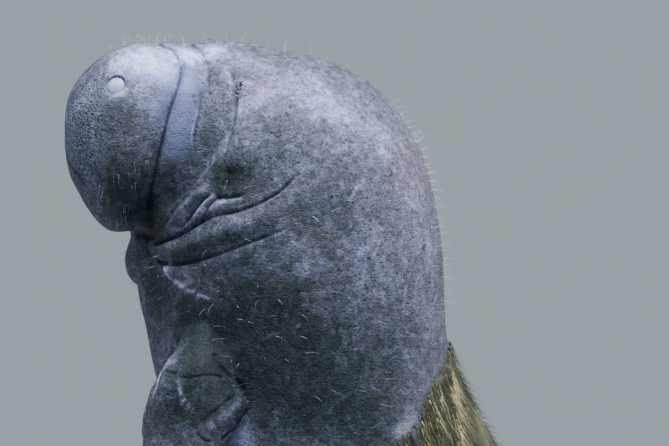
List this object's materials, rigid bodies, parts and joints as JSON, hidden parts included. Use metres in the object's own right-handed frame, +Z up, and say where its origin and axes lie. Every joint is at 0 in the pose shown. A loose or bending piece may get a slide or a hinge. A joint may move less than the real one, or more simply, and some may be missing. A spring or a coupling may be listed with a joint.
{
  "type": "life-size manatee on a display stand",
  "caption": "Adult manatee held upright with its head bowed and turned a little to its left, flippers hanging, tail paddle down behind, on a base plate with rods.",
  "frame": {"origin": "centre of the underside of the stand's base, on the floor", "axes": "+Z up; +X towards the tail and the back; -X the way the belly and the snout face; -Y the animal's left side, which the picture shows"},
  "size_m": [1.8551, 0.78, 2.3752],
  "materials": {
    "hide": "matt grey-brown hide with pale lavender mottling, wet but not glossy",
    "nail": "dull pale horn",
    "algae": "matt ochre and olive strands",
    "eye": "dark, moist",
    "stand": "satin dark grey paint"
  },
  "bodies": {
    "root": {"muzzle": "hide", "head": "hide", "neck": "hide", "chest": "hide", "torso_front": "hide", "torso_middle": "hide", "torso_rear": "hide", "tail_stock": "hide", "tail_paddle": "hide", "lower_jaw": "hide", "flipper_left_arm": "hide", "flipper_left_paddle": "hide", "flipper_right_arm": "hide", "flipper_right_paddle": "hide", "nail_left_1": "nail", "nail_left_2": "nail", "nail_left_3": "nail", "nail_left_4": "nail", "nail_right_1": "nail", "nail_right_2": "nail", "nail_right_3": "nail", "nail_right_4": "nail", "algae": "algae", "eye_left": "eye", "eye_right": "eye", "stand_base": "stand", "stand_rod_front": "stand", "stand_rod_rear": "stand"}
  },
  "joints": []
}
